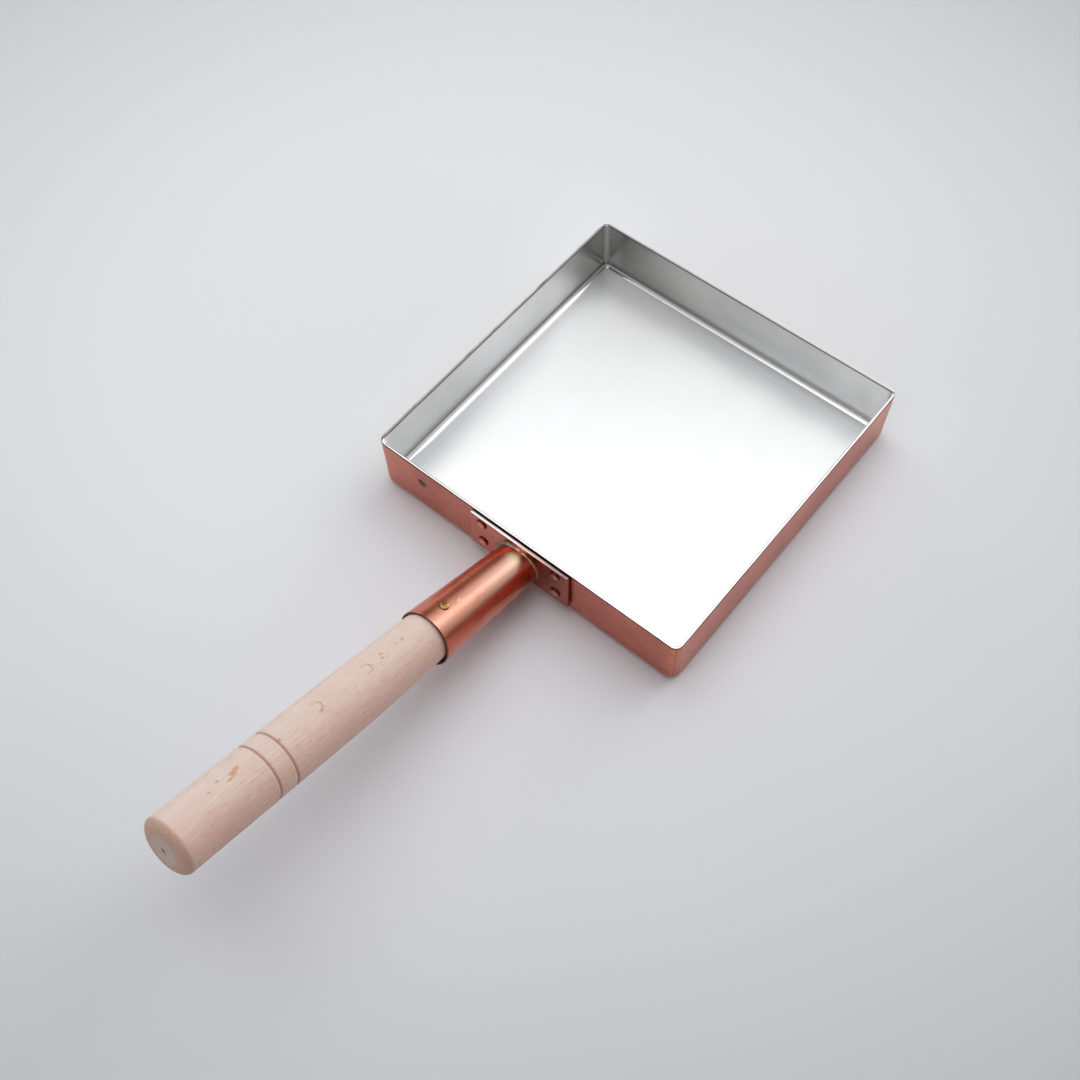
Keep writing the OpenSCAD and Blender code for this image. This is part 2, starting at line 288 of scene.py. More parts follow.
class Tin(Shader):
    """The wiped tin, with masks for its floor, its far walls and its bend."""

    def __init__(self):
        super().__init__("tin_wiped")
        self.up = self.upward()
        self.on_floor = self.ramp(self.up, 0.5, 0.9)
        self.on_wall = self.flip(self.on_floor)
        self.by_back = self.ramp(self.y, HALF_Y - 6, HALF_Y - 3)
        self.by_left = self.ramp(self.x, -HALF_X + 6, -HALF_X + 3)
        self.bent = self.times(self.ramp(self.up, 0.22, 0.42), self.ramp(self.up, 0.997, 0.97))
        # Which pair of walls a place belongs to: 0 near the walls along X, 1 near those along Y
        self.wedge = self.ramp(self.minus(self.size(self.x), self.size(self.y)), -4, 4)
        self.cloud = self.noise(self.mm, 0.055, 3, 0.55)

    def lines(self, along, across, detail):
        """Wiping lines that run along the nearest wall."""
        places = [self.stretched(kx, ky, across) for kx, ky in ((along, across), (across, along))]
        return self.mixf(self.wedge, *[self.noise(place, 1.0, detail, 0.6) for place in places])

    def base(self):
        tone = self.plus(self.about(self.lines(0.003, 0.22, 2), 0.10), self.about(self.cloud, 0.10))
        shade = self.plus(0.5, self.times(tone, 3), clamp=True)
        return self.mix(shade, (0.86, 0.865, 0.87, 1), (0.95, 0.955, 0.96, 1))

    def wiped(self, colour):
        """Wiping lines near the far walls, with a painted reflection of those walls in them: darker streaks,
        and a cool cast on the floor.
        """
        reach, full = 22, 9
        rim_x = self.ramp(self.times(self.x, -1), HALF_X - reach, HALF_X - full)
        rim_y = self.ramp(self.y, HALF_Y - reach, HALF_Y - full)
        near = self.most(rim_x, rim_y)
        painted_reflection_streaks = self.times(near, self.ramp(self.lines(0.004, 2.2, 4), 0.36, 0.64))
        painted_reflection_streaks = self.times(painted_reflection_streaks, self.mixf(self.on_floor, 0.2, 0.5))
        colour = self.mix(painted_reflection_streaks, colour, (0.76, 0.77, 0.79, 1))
        return self.mix(self.times(near, self.on_floor), colour, (0.985, 0.995, 1.02, 1), "MULTIPLY")

    def walls(self, colour):
        """Painted shade makes the walls darker: the back one to its left, and the left one in its middle."""
        to_left = self.times(self.by_back, self.ramp(self.x, 20, -60))
        tone = self.mix(to_left, (0.62, 0.62, 0.605, 1), (0.46, 0.45, 0.42, 1))
        middle = self.times(self.ramp(self.y, 52, 30), self.ramp(self.y, -75, -30))
        tone = self.mix(self.times(self.by_left, middle), tone, (0.46, 0.46, 0.445, 1))
        tone = self.mix(self.by_left, tone, (1.13, 1.13, 1.12, 1), "MULTIPLY")
        return self.mix(self.on_floor, self.mix(0.65, colour, tone), colour)

    def smudge(self, colour):
        """A faint smudge on the back wall by its right corner."""
        half_wide, half_high = 5.0, 11.0
        across = self.math("DIVIDE", self.minus(self.x, SMUDGE_X), half_wide)
        along = self.math("DIVIDE", self.minus(self.z, SMUDGE_Z), half_high)
        away = self.length(across, self.minus(self.y, HALF_Y - 2), along)
        away = self.plus(away, self.about(self.noise(self.mm, 0.25, 3, 0.6), 1.2))
        return self.mix(self.ramp(away, 0.3, 1.3, 0.14, 0), colour, (0.33, 0.34, 0.35, 1))

    def painted_far_wall_shade(self, colour):
        """Painted shade on the far walls towards their ends, and on the back one in its middle."""
        by_corner = self.times(self.ramp(self.x, -81, -75), self.ramp(self.x, -25, -72, 0, 0.34))
        middle = self.times(self.ramp(self.x, -30, 0, 0, 0.11), self.ramp(self.x, 62, 48))
        middle = self.times(self.ramp(self.z, 10, 15), middle)
        shade_amount = self.times(self.by_back, by_corner)
        shade_amount = self.plus(shade_amount, self.times(self.by_back, middle))
        shade_amount = self.plus(shade_amount, self.times(self.by_left, self.ramp(self.y, -5, -50, 0, 0.17)))
        shade_amount = self.plus(shade_amount, self.times(self.by_left, self.ramp(self.y, 57, 68, 0, 0.22)))
        return self.mix(self.times(shade_amount, self.on_wall), colour, (0.0, 0.0, 0.0, 1))

    def painted_bend_light(self, colour):
        """A painted highlight along the bend, with a painted dark line just above it on the far walls."""
        colour = self.mix(self.bent, colour, (0.96, 0.96, 0.98, 1))
        painted_dark_line = self.mixf(self.by_left, self.ramp(self.z, 7.8, 5.2), self.ramp(self.z, 6.8, 4.2))
        painted_dark_line = self.times(painted_dark_line, self.ramp(self.up, 0.40, 0.20), self.most(self.by_back, self.by_left))
        return self.mix(self.times(painted_dark_line, 0.72), colour, (0.27, 0.27, 0.255, 1))

    def matt_painted_light_floor(self):
        """Share of the shine that the floor loses by the far walls and in its back left part; the same share
        is painted white there, as painted light.
        """
        by_back = self.ramp(self.y, HALF_Y - 17, HALF_Y - 6)
        by_back = self.times(by_back, self.ramp(self.x, 40, -30, 0.3, 1))
        by_left = self.times(self.ramp(self.x, -HALF_X + 13, -HALF_X + 5), 0.62)
        foot = self.times(self.most(by_back, by_left), 0.55)
        hollow = self.times(self.ramp(self.x, 0, -60), self.ramp(self.y, 0, 70), 0.45)
        return self.times(self.on_floor, self.plus(foot, hollow, clamp=True))

    def corners_and_painted_streaks(self):
        """The upright corners, and a painted highlight streak down each."""
        ax, ay = self.corner_reach(4.2)
        corner = self.times(self.ramp(ax, 0.0, 0.8), self.ramp(ay, 0.0, 0.8))
        streak = self.ramp(self.apart(ax, ay), 0.25, 0.85, 1, 0)
        return corner, self.times(corner, streak, self.on_wall)

    def dark_lip(self, colour):
        """The rim's inner edge is dark on the far sides."""
        along = 0.35
        inset_x = self.plus(self.x, HALF_X)
        inset_y = self.minus(self.math("MULTIPLY_ADD", self.x, along / HALF_X, HALF_Y - along), self.y)
        inset = self.math("MINIMUM", inset_x, inset_y)
        lip = self.times(self.ramp(self.z, 33.1, 33.4), self.ramp(inset, 2.2, 1.9))
        dark = self.ramp(inset, 0.75, 1.05, 0.15, 0.92)
        return self.mix(self.times(lip, dark), colour, (0.16, 0.15, 0.15, 1))

    def roughness(self, streak, corner):
        rough = self.plus(self.about(streak, 0.20), self.about(self.cloud, 0.14))
        rough = self.plus(self.mixf(self.on_floor, 0.24, 0.36), rough)
        rough = self.mixf(self.bent, rough, self.mixf(self.by_left, 0.12, 0.36))
        return self.mixf(corner, rough, 0.38)


def tin_material():
    s = Tin()
    colour = s.base()
    for step in (s.wiped, s.walls, s.smudge, s.painted_far_wall_shade, s.painted_bend_light):
        colour = step(colour)
    matt_painted_light = s.matt_painted_light_floor()
    corner, painted_streak = s.corners_and_painted_streaks()
    # Painted light: the floor by the far walls and in its back left part is made matt white
    colour = s.mix(matt_painted_light, colour, (1.0, 1.0, 1.0, 1))
    # Painted highlight streak down each upright corner
    colour = s.mix(s.times(painted_streak, 0.6), colour, (0.80, 0.80, 0.79, 1))
    colour = s.dark_lip(colour)
    # The steep part of the bend loses some metal, so its painted highlight shows as diffuse light
    steep = s.times(s.bent, s.ramp(s.up, 0.85, 0.62, 0, 0.6))
    metallic = s.minus(1.0, s.most(steep, s.times(matt_painted_light, s.flip(s.bent))))
    # The painted highlight streak loses some of its metal too
    metallic = s.minus(metallic, s.times(painted_streak, 0.25), clamp=True)
    streak = s.lines(0.0025, 1.5, 3)
    height = s.plus(streak, s.times(s.noise(s.mm, 1.7, 2, 0.6), 0.12))
    depth = s.times(s.mixf(s.on_floor, 0.05, 0.10), s.flip(s.bent))
    return s.finish(Base_Color=colour, Metallic=metallic, Roughness=s.roughness(streak, corner),
                    Normal=s.bump(height, depth, 0.00004))


# Copper


def punch_mark(s):
    """A plain round punch mark on the front wall: its mask and its dark edge."""
    wall_depth = s.most(s.plus(s.y, HALF_Y - 2), 0.0)
    away = s.length(s.minus(s.x, MARK_X), wall_depth, s.minus(s.z, MARK_Z))
    away = s.plus(away, s.about(s.noise(s.mm, 0.9, 2, 0.6), 0.5))
    mark = s.ramp(away, 2.3, 2.9, 1, 0)
    return mark, s.times(mark, s.ramp(s.noise(s.mm, 1.3, 2, 0.6), 0.45, 0.62, 1, 0.75))


def fold_line(s, colour):
    """A dark line down each upright corner."""
    ax, ay = s.corner_reach(1.55)
    at_corner = s.times(s.ramp(ax, -1.5, -0.2), s.ramp(ay, -1.5, -0.2))
    line = s.times(at_corner, s.ramp(s.apart(ax, ay), 0.15, 0.5, 1, 0), s.ramp(s.z, 1, 6, 1.0, 0.5))
    return s.mix(s.times(line, 0.8), colour, srgb(70, 28, 22))


def copper_rim(s, colour):
    """The rim is tarnished, and on the far sides its outer edge has a painted glint."""
    colour = s.mix(s.ramp(s.z, 33.2, 33.5, 0, 0.85), colour, srgb(78, 40, 34))
    edge_x = s.ramp(s.x, -HALF_X + 0.32, -HALF_X + 0.18)
    edge_y = s.ramp(s.y, HALF_Y - 0.9, HALF_Y - 0.75)
    # Painted glint along the rim's outer edge on the far sides
    light = s.times(s.most(edge_x, edge_y), s.ramp(s.z, 33.2, 33.4))
    return s.mix(s.times(light, 0.8), colour, (0.90, 0.80, 0.79, 1))


def painted_gap_shade(s, colour):
    """Painted shade on the wall in the gap behind the plate's top edge, less of it to the right."""
    half = PLATE_W / 2
    behind = s.ramp(s.size(s.x), half - 1, half + 1, 1, 0)
    behind = s.times(behind, s.ramp(s.y, -HALF_Y + 0.25, -HALF_Y + 0.05), s.ramp(s.z, 31, 32.5))
    return s.mix(s.times(behind, s.ramp(s.x, -12, 22, 0.9, 0.45)), colour, srgb(46, 22, 20))


def dress_pan(s, colour, tint):
    mark, edge = punch_mark(s)
    colour = painted_gap_shade(s, copper_rim(s, fold_line(s, colour)))
    # Darker low on the walls, towards the floor
    colour = s.mix(s.ramp(s.z, 0.0, 7, 0.35, 0), colour, tinted(tint, 0.5))
    return s.mix(edge, colour, srgb(58, 26, 24)), mark


def dress_plate(s, colour, tint):
    """The top edge has a painted highlight, near white at the left, that dulls to the right. The face is
    darker there too.
    """
    colour = s.mix(s.ramp(s.x, 8, 26, 0, 0.55), colour, tinted(tint, 0.42))
    painted_edge_highlight = s.mix(s.ramp(s.x, -8, 8), (0.80, 0.74, 0.72, 1), (0.62, 0.44, 0.38, 1))
    painted_edge_highlight = s.mix(s.ramp(s.x, 6, 28), painted_edge_highlight, (0.30, 0.21, 0.21, 1))
    return s.mix(s.ramp(s.upward(), 0.6, 0.85), colour, painted_edge_highlight), None


def dress_rivet(s, colour, tint):
    """The heads have a painted highlight in their middle and painted shade round their foot."""
    across = s.minus(s.size(s.x), RIVET_X)
    away = s.math("MINIMUM", *[s.length(across, 0.0, s.minus(s.z, row)) for row in RIVET_ROWS])
    colour = s.mix(s.ramp(away, 2.0, 0.8, 0, 0.6), colour, srgb(236, 178, 160))
    return s.mix(s.ramp(away, 2.1, 2.75, 0, 0.85), colour, srgb(84, 34, 26)), None


def copper_material(name, tint, rough, dress):
    """Sheet copper. dress adds what one piece has, and may give the mask of a mark sunk in it."""
    s = Shader(name)
    cloud = s.noise(s.mm, 0.05, 4, 0.6)
    patch = s.noise(s.mm, 0.22, 3, 0.6)
    grain = s.noise(s.mm, 2.2, 2, 0.7)
    rub = s.noise(s.stretched(0.05, 0.05, 1.3), 1.0, 3, 0.6)
    mixed = s.plus(s.times(cloud, 0.55), s.times(patch, 0.45))
    dark, light = tinted(tint, 0.88, 0.82, 0.82), tinted(tint, 1.07, 1.14, 1.14)
    colour = s.mix(s.ramp(mixed, 0.36, 0.66), dark, light)
    colour = s.mix(s.ramp(grain, 0.60, 0.78, 0, 0.25), colour, tinted(tint, 0.62))
    colour, mark = dress(s, colour, tint)
    roughness = s.plus(rough, s.plus(s.about(patch, 0.20), s.about(rub, 0.14)))
    normal = s.bump(s.plus(s.times(rub, 0.6), s.times(grain, 0.5)), 0.15, 0.00006)
    if mark is not None:
        normal = s.bump(s.minus(1.0, mark), 1.0, 0.0002, normal)
    return s.finish(Base_Color=colour, Metallic=1.0, Roughness=roughness, Normal=normal)


def socket_base(s, theta, cloud, along):
    """A painted highlight tone along the top, painted deeper shade down both sides, and painted shade at the
    root beside the top.
    """
    colour = s.mix(s.ramp(cloud, 0.35, 0.68), srgb(196, 104, 78), srgb(226, 146, 118))
    colour = s.mix(s.ramp(along, 0.45, 0.75, 0, 0.35), colour, srgb(176, 82, 60))
    # Painted highlight along the top, and painted deeper shade down both sides
    top = s.mix(s.ramp(s.z, 5, 50), srgb(232, 196, 178), srgb(232, 172, 148))
    top, painted_flank_shade = s.mix(0.75, colour, top), s.mix(0.6, colour, srgb(208, 104, 80))
    colour = s.mix(s.outside(theta, 70, 13, 32), top, painted_flank_shade)
    # Painted shade at the root, beside the top
    root = s.times(s.ramp(s.z, 16, 5), s.outside(theta, 84, 20, 45))
    return s.mix(s.times(root, 0.6), colour, srgb(120, 56, 44))


def socket_material():
    s = Shader("copper_socket", handle=True)
    theta = s.angle()
    cloud = s.noise(s.mm, 0.07, 4, 0.6)
    along = s.noise(s.xyz(s.times(theta, 9.0), 0.0, s.times(s.z, 0.035)), 1.0, 4, 0.6)
    colour = socket_base(s, theta, cloud, along)
    # Heat stain from brazing, close to the plate on top
    spot = s.vec("DISTANCE", s.xyz(s.times(theta, 11.5), 0.0, s.z), (16.2, 0.0, 8.5))
    stain = s.ramp(s.plus(spot, s.about(cloud, 5)), 1.5, 6.0, 1, 0)
    colour = s.mix(s.times(stain, 0.7), colour, srgb(208, 202, 156))
    # Dark oxide on the cut mouth and in the bore
    lip = s.ramp(s.z, SOCKET_LEN - 0.42, SOCKET_LEN - 0.12)
    colour = s.mix(s.times(lip, 0.75), colour, srgb(128, 64, 50))
    half_sheet = s.plus(ROOT_R - SOCKET_T / 2, s.times(s.z, 0.0358))
    bore = s.ramp(s.minus(s.length(s.x, s.y, 0.0), half_sheet), 0.0, 0.3, 1, 0)
    colour = s.mix(s.times(bore, 0.9), colour, srgb(84, 42, 32))
    roughness = s.plus(0.28, s.plus(s.about(along, 0.22), s.about(cloud, 0.12)))
    roughness = s.mixf(bore, s.mixf(stain, roughness, 0.38), 0.7)
    height = s.plus(along, s.times(s.noise(s.mm, 2.0, 2, 0.7), 0.4))
    return s.finish(Base_Color=colour, Metallic=1.0, Roughness=roughness,
                    Normal=s.bump(height, 0.12, 0.00008), Coat_Weight=0.35, Coat_Roughness=0.12)


# Braze, brass and wood


def braze_material():
    s = Shader("braze")
    cloud = s.noise(s.mm, 0.35, 3, 0.6)
    # Painted highlight across the middle of the bead, which is darker at its left end and warmer at its
    # right
    colour = s.mix(s.ramp(s.x, -8, -2), srgb(140, 132, 110), srgb(250, 244, 224))
    colour = s.mix(s.ramp(s.x, 5, 11), colour, srgb(176, 146, 110))
    colour = s.mix(s.ramp(cloud, 0.5, 0.66, 0, 0.7), colour, srgb(96, 76, 54))
    roughness = s.plus(0.22, s.times(cloud, 0.25))
    normal = s.bump(s.noise(s.mm, 1.6, 3, 0.6), 0.8, 0.0004)
    return s.finish(Base_Color=colour, Metallic=1.0, Roughness=roughness, Normal=normal)


def brass_material():
    s = Shader("brass_nail", handle=True)
    grain = s.noise(s.mm, 1.2, 3, 0.6)
    away = s.length(s.x, 0.0, s.minus(s.z, NAIL_S))
    colour = s.mix(s.ramp(grain, 0.35, 0.7), srgb(150, 104, 52), srgb(206, 164, 96))
    colour = s.mix(s.ramp(away, 1.8, 2.2, 0, 0.9), colour, srgb(62, 36, 18))
    roughness = s.plus(0.2, s.times(grain, 0.2))
    return s.finish(Base_Color=colour, Metallic=1.0, Roughness=roughness,
                    Normal=s.bump(grain, 0.4, 0.0002))


def wood_base(s, fibre):
    """Growth rings of a bolt cut away from the tree's heart, with fibres along the grip."""
    heart = s.length(s.plus(s.x, 6.0), s.minus(s.y, 46.0), 0.0)
    warp = s.noise(s.stretched(0.06, 0.06, 0.012), 1.0, 2, 0.5)
    rings = s.math("SINE", s.times(s.plus(heart, s.times(warp, 9.0)), 1.9))
    base = s.mix(s.ramp(fibre, 0.3, 0.72), srgb(230, 206, 194), srgb(240, 222, 211))
    base = s.mix(s.ramp(rings, 0.2, 1.0, 0, 0.22), base, srgb(226, 194, 178))
    cloud = s.noise(s.mm, 0.045, 3, 0.5)
    return s.mix(s.ramp(cloud, 0.45, 0.7, 0, 0.35), base, srgb(232, 200, 188))


def wood_flecks(s, theta, arc):
    """Short dark flecks along the grain, fainter on top."""
    place = s.xyz(s.times(arc, 0.9), 0.0, s.times(s.z, 0.17))
    cell = s.add("ShaderNodeTexVoronoi", {"feature": "F1"}, Vector=place, Scale=1.0, Randomness=1.0)
    pick = s.add("ShaderNodeSeparateColor", Color=cell.outputs["Color"]).outputs
    away = s.vec("SUBTRACT", place, cell.outputs["Position"])
    across, _, along = s.add("ShaderNodeSeparateXYZ", Vector=away).outputs
    thin = s.ramp(s.size(across), 0.02, 0.12, 1, 0)
    short = s.ramp(s.size(along), 0.10, 0.30, 1, 0)
    fleck = s.times(thin, short, s.ramp(pick[0], 0.3, 0.95))
    return s.times(fleck, s.ramp(s.apart(theta, math.radians(97)), 0.05, 0.45, 0.15, 1))


def wood_spots(s, arc):
    """Knots and ray spots on top."""
    warm = s.about(s.noise(s.mm, 0.8, 2, 0.6), 1.1)
    total = 0.0
    for station, degrees, length, width, ring in WOOD_SPOTS:
        u = s.math("DIVIDE", s.minus(s.z, station), length)
        v = s.math("DIVIDE", s.minus(arc, math.radians(degrees) * WOOD_R), width)
        away = s.plus(s.length(u, v, 0.0), warm)
        if ring:
            spot = s.times(s.ramp(away, 0.75, 1.0), s.ramp(away, 1.0, 1.25, 1, 0), s.ramp(u, 0.4, -0.2))
        else:
            spot = s.ramp(away, 0.45, 1.0, 1, 0)
        total = s.plus(s.times(spot, 0.85 if ring else 0.75), total, clamp=True)
    return total


def wood_end(s, base):
    """End grain takes up more dirt, and the flat face has the lathe centre's mark."""
    end = s.ramp(s.z, ROUND_START - 0.3, ROUND_START + 1.6, 0, 0.85)
    radius = s.length(s.x, s.y, 0.0)
    face = s.ramp(radius, FACE_R + 0.2, FACE_R - 1.6)
    face = s.times(face, s.ramp(s.z, GRIP_END - 1.1, GRIP_END - 0.3, 0, 0.85))
    pores = s.ramp(s.noise(s.mm, 1.6, 3, 0.6), 0.35, 0.7)
    end_colour = s.mix(pores, srgb(202, 156, 136), srgb(222, 182, 162))
    face_colour = s.mix(pores, srgb(200, 182, 168), srgb(220, 204, 192))
    face_colour = s.mix(s.ramp(radius, 0.6, 1.6, 0.8, 0), face_colour, srgb(92, 72, 56))
    return s.mix(face, s.mix(end, base, end_colour), face_colour)


def beech_material():
    s = Shader("beech", handle=True)
    theta = s.angle()
    arc = s.times(theta, WOOD_R)
    fibre = s.noise(s.xyz(s.times(arc, 1.6), 0.0, s.times(s.z, 0.09)), 1.0, 5, 0.65)
    fleck = wood_flecks(s, theta, arc)
    base = s.mix(s.times(fleck, 0.72), wood_base(s, fibre), srgb(186, 112, 84))
    base = s.mix(wood_spots(s, arc), base, srgb(216, 154, 122))
    # Painted shade: the underside is darker and warmer
    right = s.ramp(theta, math.radians(100), math.radians(25))
    left = s.ramp(theta, math.radians(185), math.radians(240))
    base = s.mix(s.times(s.most(right, left), 0.75), base, (0.93, 0.70, 0.64, 1), "MULTIPLY")
    base = wood_end(s, base)
    for station in GROOVES:
        band = s.ramp(s.apart(s.z, station), 0.2, 0.95, 1, 0)
        base = s.mix(s.times(band, 0.65), base, srgb(178, 124, 104))
    roughness = s.plus(0.50, s.times(fibre, 0.18))
    height = s.minus(fibre, s.times(fleck, 1.2))
    return s.finish(Base_Color=base, Roughness=roughness, Normal=s.bump(height, 0.25, 0.0001))


# Paper on the floor


def painted_paper_falloff(s):
    """Painted fall-off of light on the paper towards its edges. Its terms come from a fit, made by another
    program, to the brightness of the photo's floor."""
    x, y = s.math("DIVIDE", s.x, 300), s.math("DIVIDE", s.y, 300)
    tone = 1.153
    for value, term in (
        (-0.160, x), (0.007, y), (-0.166, s.times(x, x)), (0.037, s.times(x, y)), (-0.180, s.times(y, y)),
    ):
        tone = s.math("MULTIPLY_ADD", term, value, tone)
    return s.math("MINIMUM", s.most(tone, 0.5), 1.16)


def floor_material():
    s = Shader("backdrop")
    cloud = s.noise(s.mm, 0.004, 2, 0.5)
    grain = s.noise(s.mm, 1.2, 2, 0.7)
    colour = s.mix(cloud, (0.806, 0.821, 0.862, 1), (0.820, 0.835, 0.875, 1))
    # The paper is painted a little cooler beyond the far walls, against the faint warm cast that the sheet
    # copper throws there
    beyond = s.minus(s.most(s.times(s.x, -1), s.y), HALF_X)
    cast = s.times(s.ramp(beyond, 65, 8), s.ramp(beyond, -8, 0))
    cast = s.times(cast, s.times(s.ramp(s.y, -140, -60), s.ramp(s.x, 140, 70)))
    colour = s.mix(cast, colour, (1.015, 1.06, 1.035, 1), "MULTIPLY")
    colour = s.vec("SCALE", colour, scale=painted_paper_falloff(s))
    return s.finish(Base_Color=colour, Roughness=0.75, Normal=s.bump(grain, 0.08, 0.0001))


TIN_M = tin_material()
COPPER_M = copper_material("copper_sheet", srgb(205, 118, 96), 0.30, dress_pan)
PLATE_M = copper_material("copper_plate", srgb(205, 112, 88), 0.26, dress_plate)
RIVET_M = copper_material("copper_rivet", srgb(206, 118, 98), 0.30, dress_rivet)
SOCKET_M = socket_material()
BRAZE_M = braze_material()
BRASS_M = brass_material()
BEECH_M = beech_material()
FLOOR_M = floor_material()


# Mesh helpers


def piece(name, verts, faces, material, slot, nodes, matrix=None):
    """A smooth closed mesh with its corners in millimetres, which stands for some CAD nodes."""
    mesh = bpy.data.meshes.new(name)
    verts = [Vector(v) * MM for v in verts]
    if matrix is not None:
        verts = [matrix @ v for v in verts]
    mesh.from_pydata(verts, [], faces)
    bm = bmesh.new()
    bm.from_mesh(mesh)
    bmesh.ops.remove_doubles(bm, verts=bm.verts, dist=1e-7)
    bmesh.ops.recalc_face_normals(bm, faces=bm.faces)
    bm.to_mesh(mesh)
    bm.free()
    for p in mesh.polygons:
        p.use_smooth = True
    mesh.materials.append(material)
    obj = bpy.data.objects.new(name, mesh)
    scene.collection.objects.link(obj)
    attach(obj, "root")
    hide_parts(*nodes)
    return obj


def skin(loops, joined=False):
    """Corners and faces of a surface through closed loops of equal length. A fan to its centre
    caps each end loop, or, where the surface is joined, the last loop runs on to the first."""
    n, rows = len(loops[0]), len(loops)
    verts = [p for loop in loops for p in loop]
    faces = []
    for i in range(rows if joined else rows - 1):
        a, b = i * n, (i + 1) % rows * n
        for k in range(n):
            j = (k + 1) % n
            faces.append((a + k, a + j, b + j, b + k))
    for start in () if joined else (0, (rows - 1) * n):
        loop = verts[start:start + n]
        verts.append(tuple(sum(p[c] for p in loop) / n for c in range(3)))
        faces += [(start + k, start + (k + 1) % n, len(verts) - 1) for k in range(n)]
    return verts, faces


def circle(steps):
    return [math.tau * i / steps for i in range(steps)]


def turned(profile, steps, place):
    """A surface of revolution. profile gives radius and height, and place moves each point."""
    least = 1e-4
    loops = []
    for r, h in profile:
        r = max(r, least)
        loops.append([place(r * math.cos(a), r * math.sin(a), h) for a in circle(steps)])
    return skin(loops)


def dome_profile(radius, height, side, steps=12):
    """Side wall then dome, from the edge to the top."""
    out = [(radius, 0.0), (radius, side)]
    for i in range(1, steps + 1):
        f = math.pi / 2 * i / steps
        out.append((radius * math.cos(f), side + (height - side) * math.sin(f) ** 0.9))
    return out


def fixed(value):
    return lambda share: value


# The pan


def corner_radius(corner, z):
    return lerp(CORNER_FOOT[corner % 4], CORNER_RIM[corner % 4], smoothstep(2, 33, z))


def hand_bend(x, y, z):
    """How far a wall bent by hand stands in from the sheet's nominal box."""
    push = 0.06 * (1 + wobble(x, y, z, 34.0, 3.1)) * smoothstep(3, 20, z)
    return push + 0.03 * (1 + wobble(x, y, z, 11.0, 8.2)) * smoothstep(5, 30, z)


def back_lean(x, y, z):
    """How far the back wall leans in, which it does most at its left end."""
    to_left = 0.5 - x / (2 * HALF_X)
    return BACK_LEAN * to_left * smoothstep(-0.2, 1.2, z / HEIGHT) * smoothstep(0, HALF_Y, y)


def quarter_points(k, t, corner, z, inset):
    """Place and outward direction on one side or its corner, before it is turned into place."""
    a, b = (HALF_X, HALF_Y) if k % 2 == 0 else (HALF_Y, HALF_X)
    big, last = corner_radius(k, z), corner_radius(k - 1, z)
    if not corner:
        return a - inset, lerp(-(b - last), b - big, t), 1.0, 0.0
    f = t * math.pi / 2
    nx, ny = math.cos(f), math.sin(f)
    return a - big + (big - inset) * nx, b - big + (big - inset) * ny, nx, ny


def pan_loop(inset_of, z_of, scale=1.0):
    """A loop round the pan. inset_of and z_of take the share of the way round, from 0 to 1."""
    steps = [(False, i / SIDE_STEPS) for i in range(SIDE_STEPS)]
    steps += [(True, i / CORNER_STEPS) for i in range(CORNER_STEPS)]
    points = []
    for k, (ca, sa) in enumerate(((1, 0), (0, 1), (-1, 0), (0, -1))):
        for corner, t in steps:
            within = SIDE_SHARE + (1 - SIDE_SHARE) * t if corner else SIDE_SHARE * t
            share = (k + within) / 4
            z = z_of(share)
            px, py, nx, ny = quarter_points(k, t, corner, z, inset_of(share))
            x, y = px * ca - py * sa, px * sa + py * ca
            out_x, out_y = nx * ca - ny * sa, nx * sa + ny * ca
            push = hand_bend(x, y, z)
            points.append(((x - push * out_x) * scale, (y - push * out_y - back_lean(x, y, z)) * scale, z))
    return points


def bend(radius, base, inset):
    """Inset and height along the bend from the floor to the wall."""
    out = []
    for i in range(BEND_STEPS + 1):
        f = math.pi / 2 * i / BEND_STEPS
        out.append((inset + radius * (1 - math.sin(f)), base + radius * (1 - math.cos(f))))
    return out


def rise(pairs):
    """Loops round the pan, one for each inset and height."""
    return [pan_loop(fixed(inset), fixed(z)) for inset, z in pairs]


def flat_floor(z, loop_inset):
    """Loops from the middle of the floor outwards."""
    return [pan_loop(loop_inset, fixed(z), scale) for scale in FLOOR_SCALES]


def edge_share(share):
    """Inset from the outside at which the tin starts on the rim, which is further in on the left side."""
    ragged = noise.noise(Vector((share * 90, 0.3, 0.7))) + 0.6 * noise.noise(Vector((share * 400, 5.3, 0.7)))
    left = smoothstep(0.495, 0.51, share) * smoothstep(0.74, 0.725, share)
    return 0.24 + 0.10 * ragged + (0.26 + 0.30 * ragged) * left


def fillet_inset(share):
    """Where the tin's bend meets the floor; it runs out slower by the left wall."""
    by_left = smoothstep(0.505, 0.54, share) * smoothstep(0.72, 0.69, share)
    return FULL + FILLET_R + 1.3 * by_left


def rim_z(inset):
    """Height of the rounded rim at an inset from its outside."""
    half = FULL / 2
    return HEIGHT - RIM_ROUND + RIM_ROUND * math.sqrt(max(0.0, 1 - ((half - inset) / half) ** 2))


def on_rim(inset_of, drop=0.0):
    return pan_loop(inset_of, lambda share: rim_z(inset_of(share)) - drop)


def build_body():
    loops = flat_floor(0.0, fixed(BEND_R))
    loops += rise(bend(BEND_R, 0.0, 0.0))
    loops += rise((0.0, z) for z in WALL_Z)
    for part in (0.0, 0.15, 0.4, 0.7, 1.0):
        loops.append(on_rim(lambda share: part * edge_share(share)))
    loops.append(on_rim(edge_share, 0.1))
    loops += rise([(SHEET - 0.3, 33.3)])
    loops += rise((SHEET, z) for z in reversed(WALL_Z))
    loops += rise(reversed(bend(INNER_BEND, SHEET, SHEET)))
    loops += reversed(flat_floor(SHEET, fixed(SHEET + INNER_BEND)))
    piece("pan_body_copper", *skin(loops), COPPER_M, "copper", ["pan_body"])


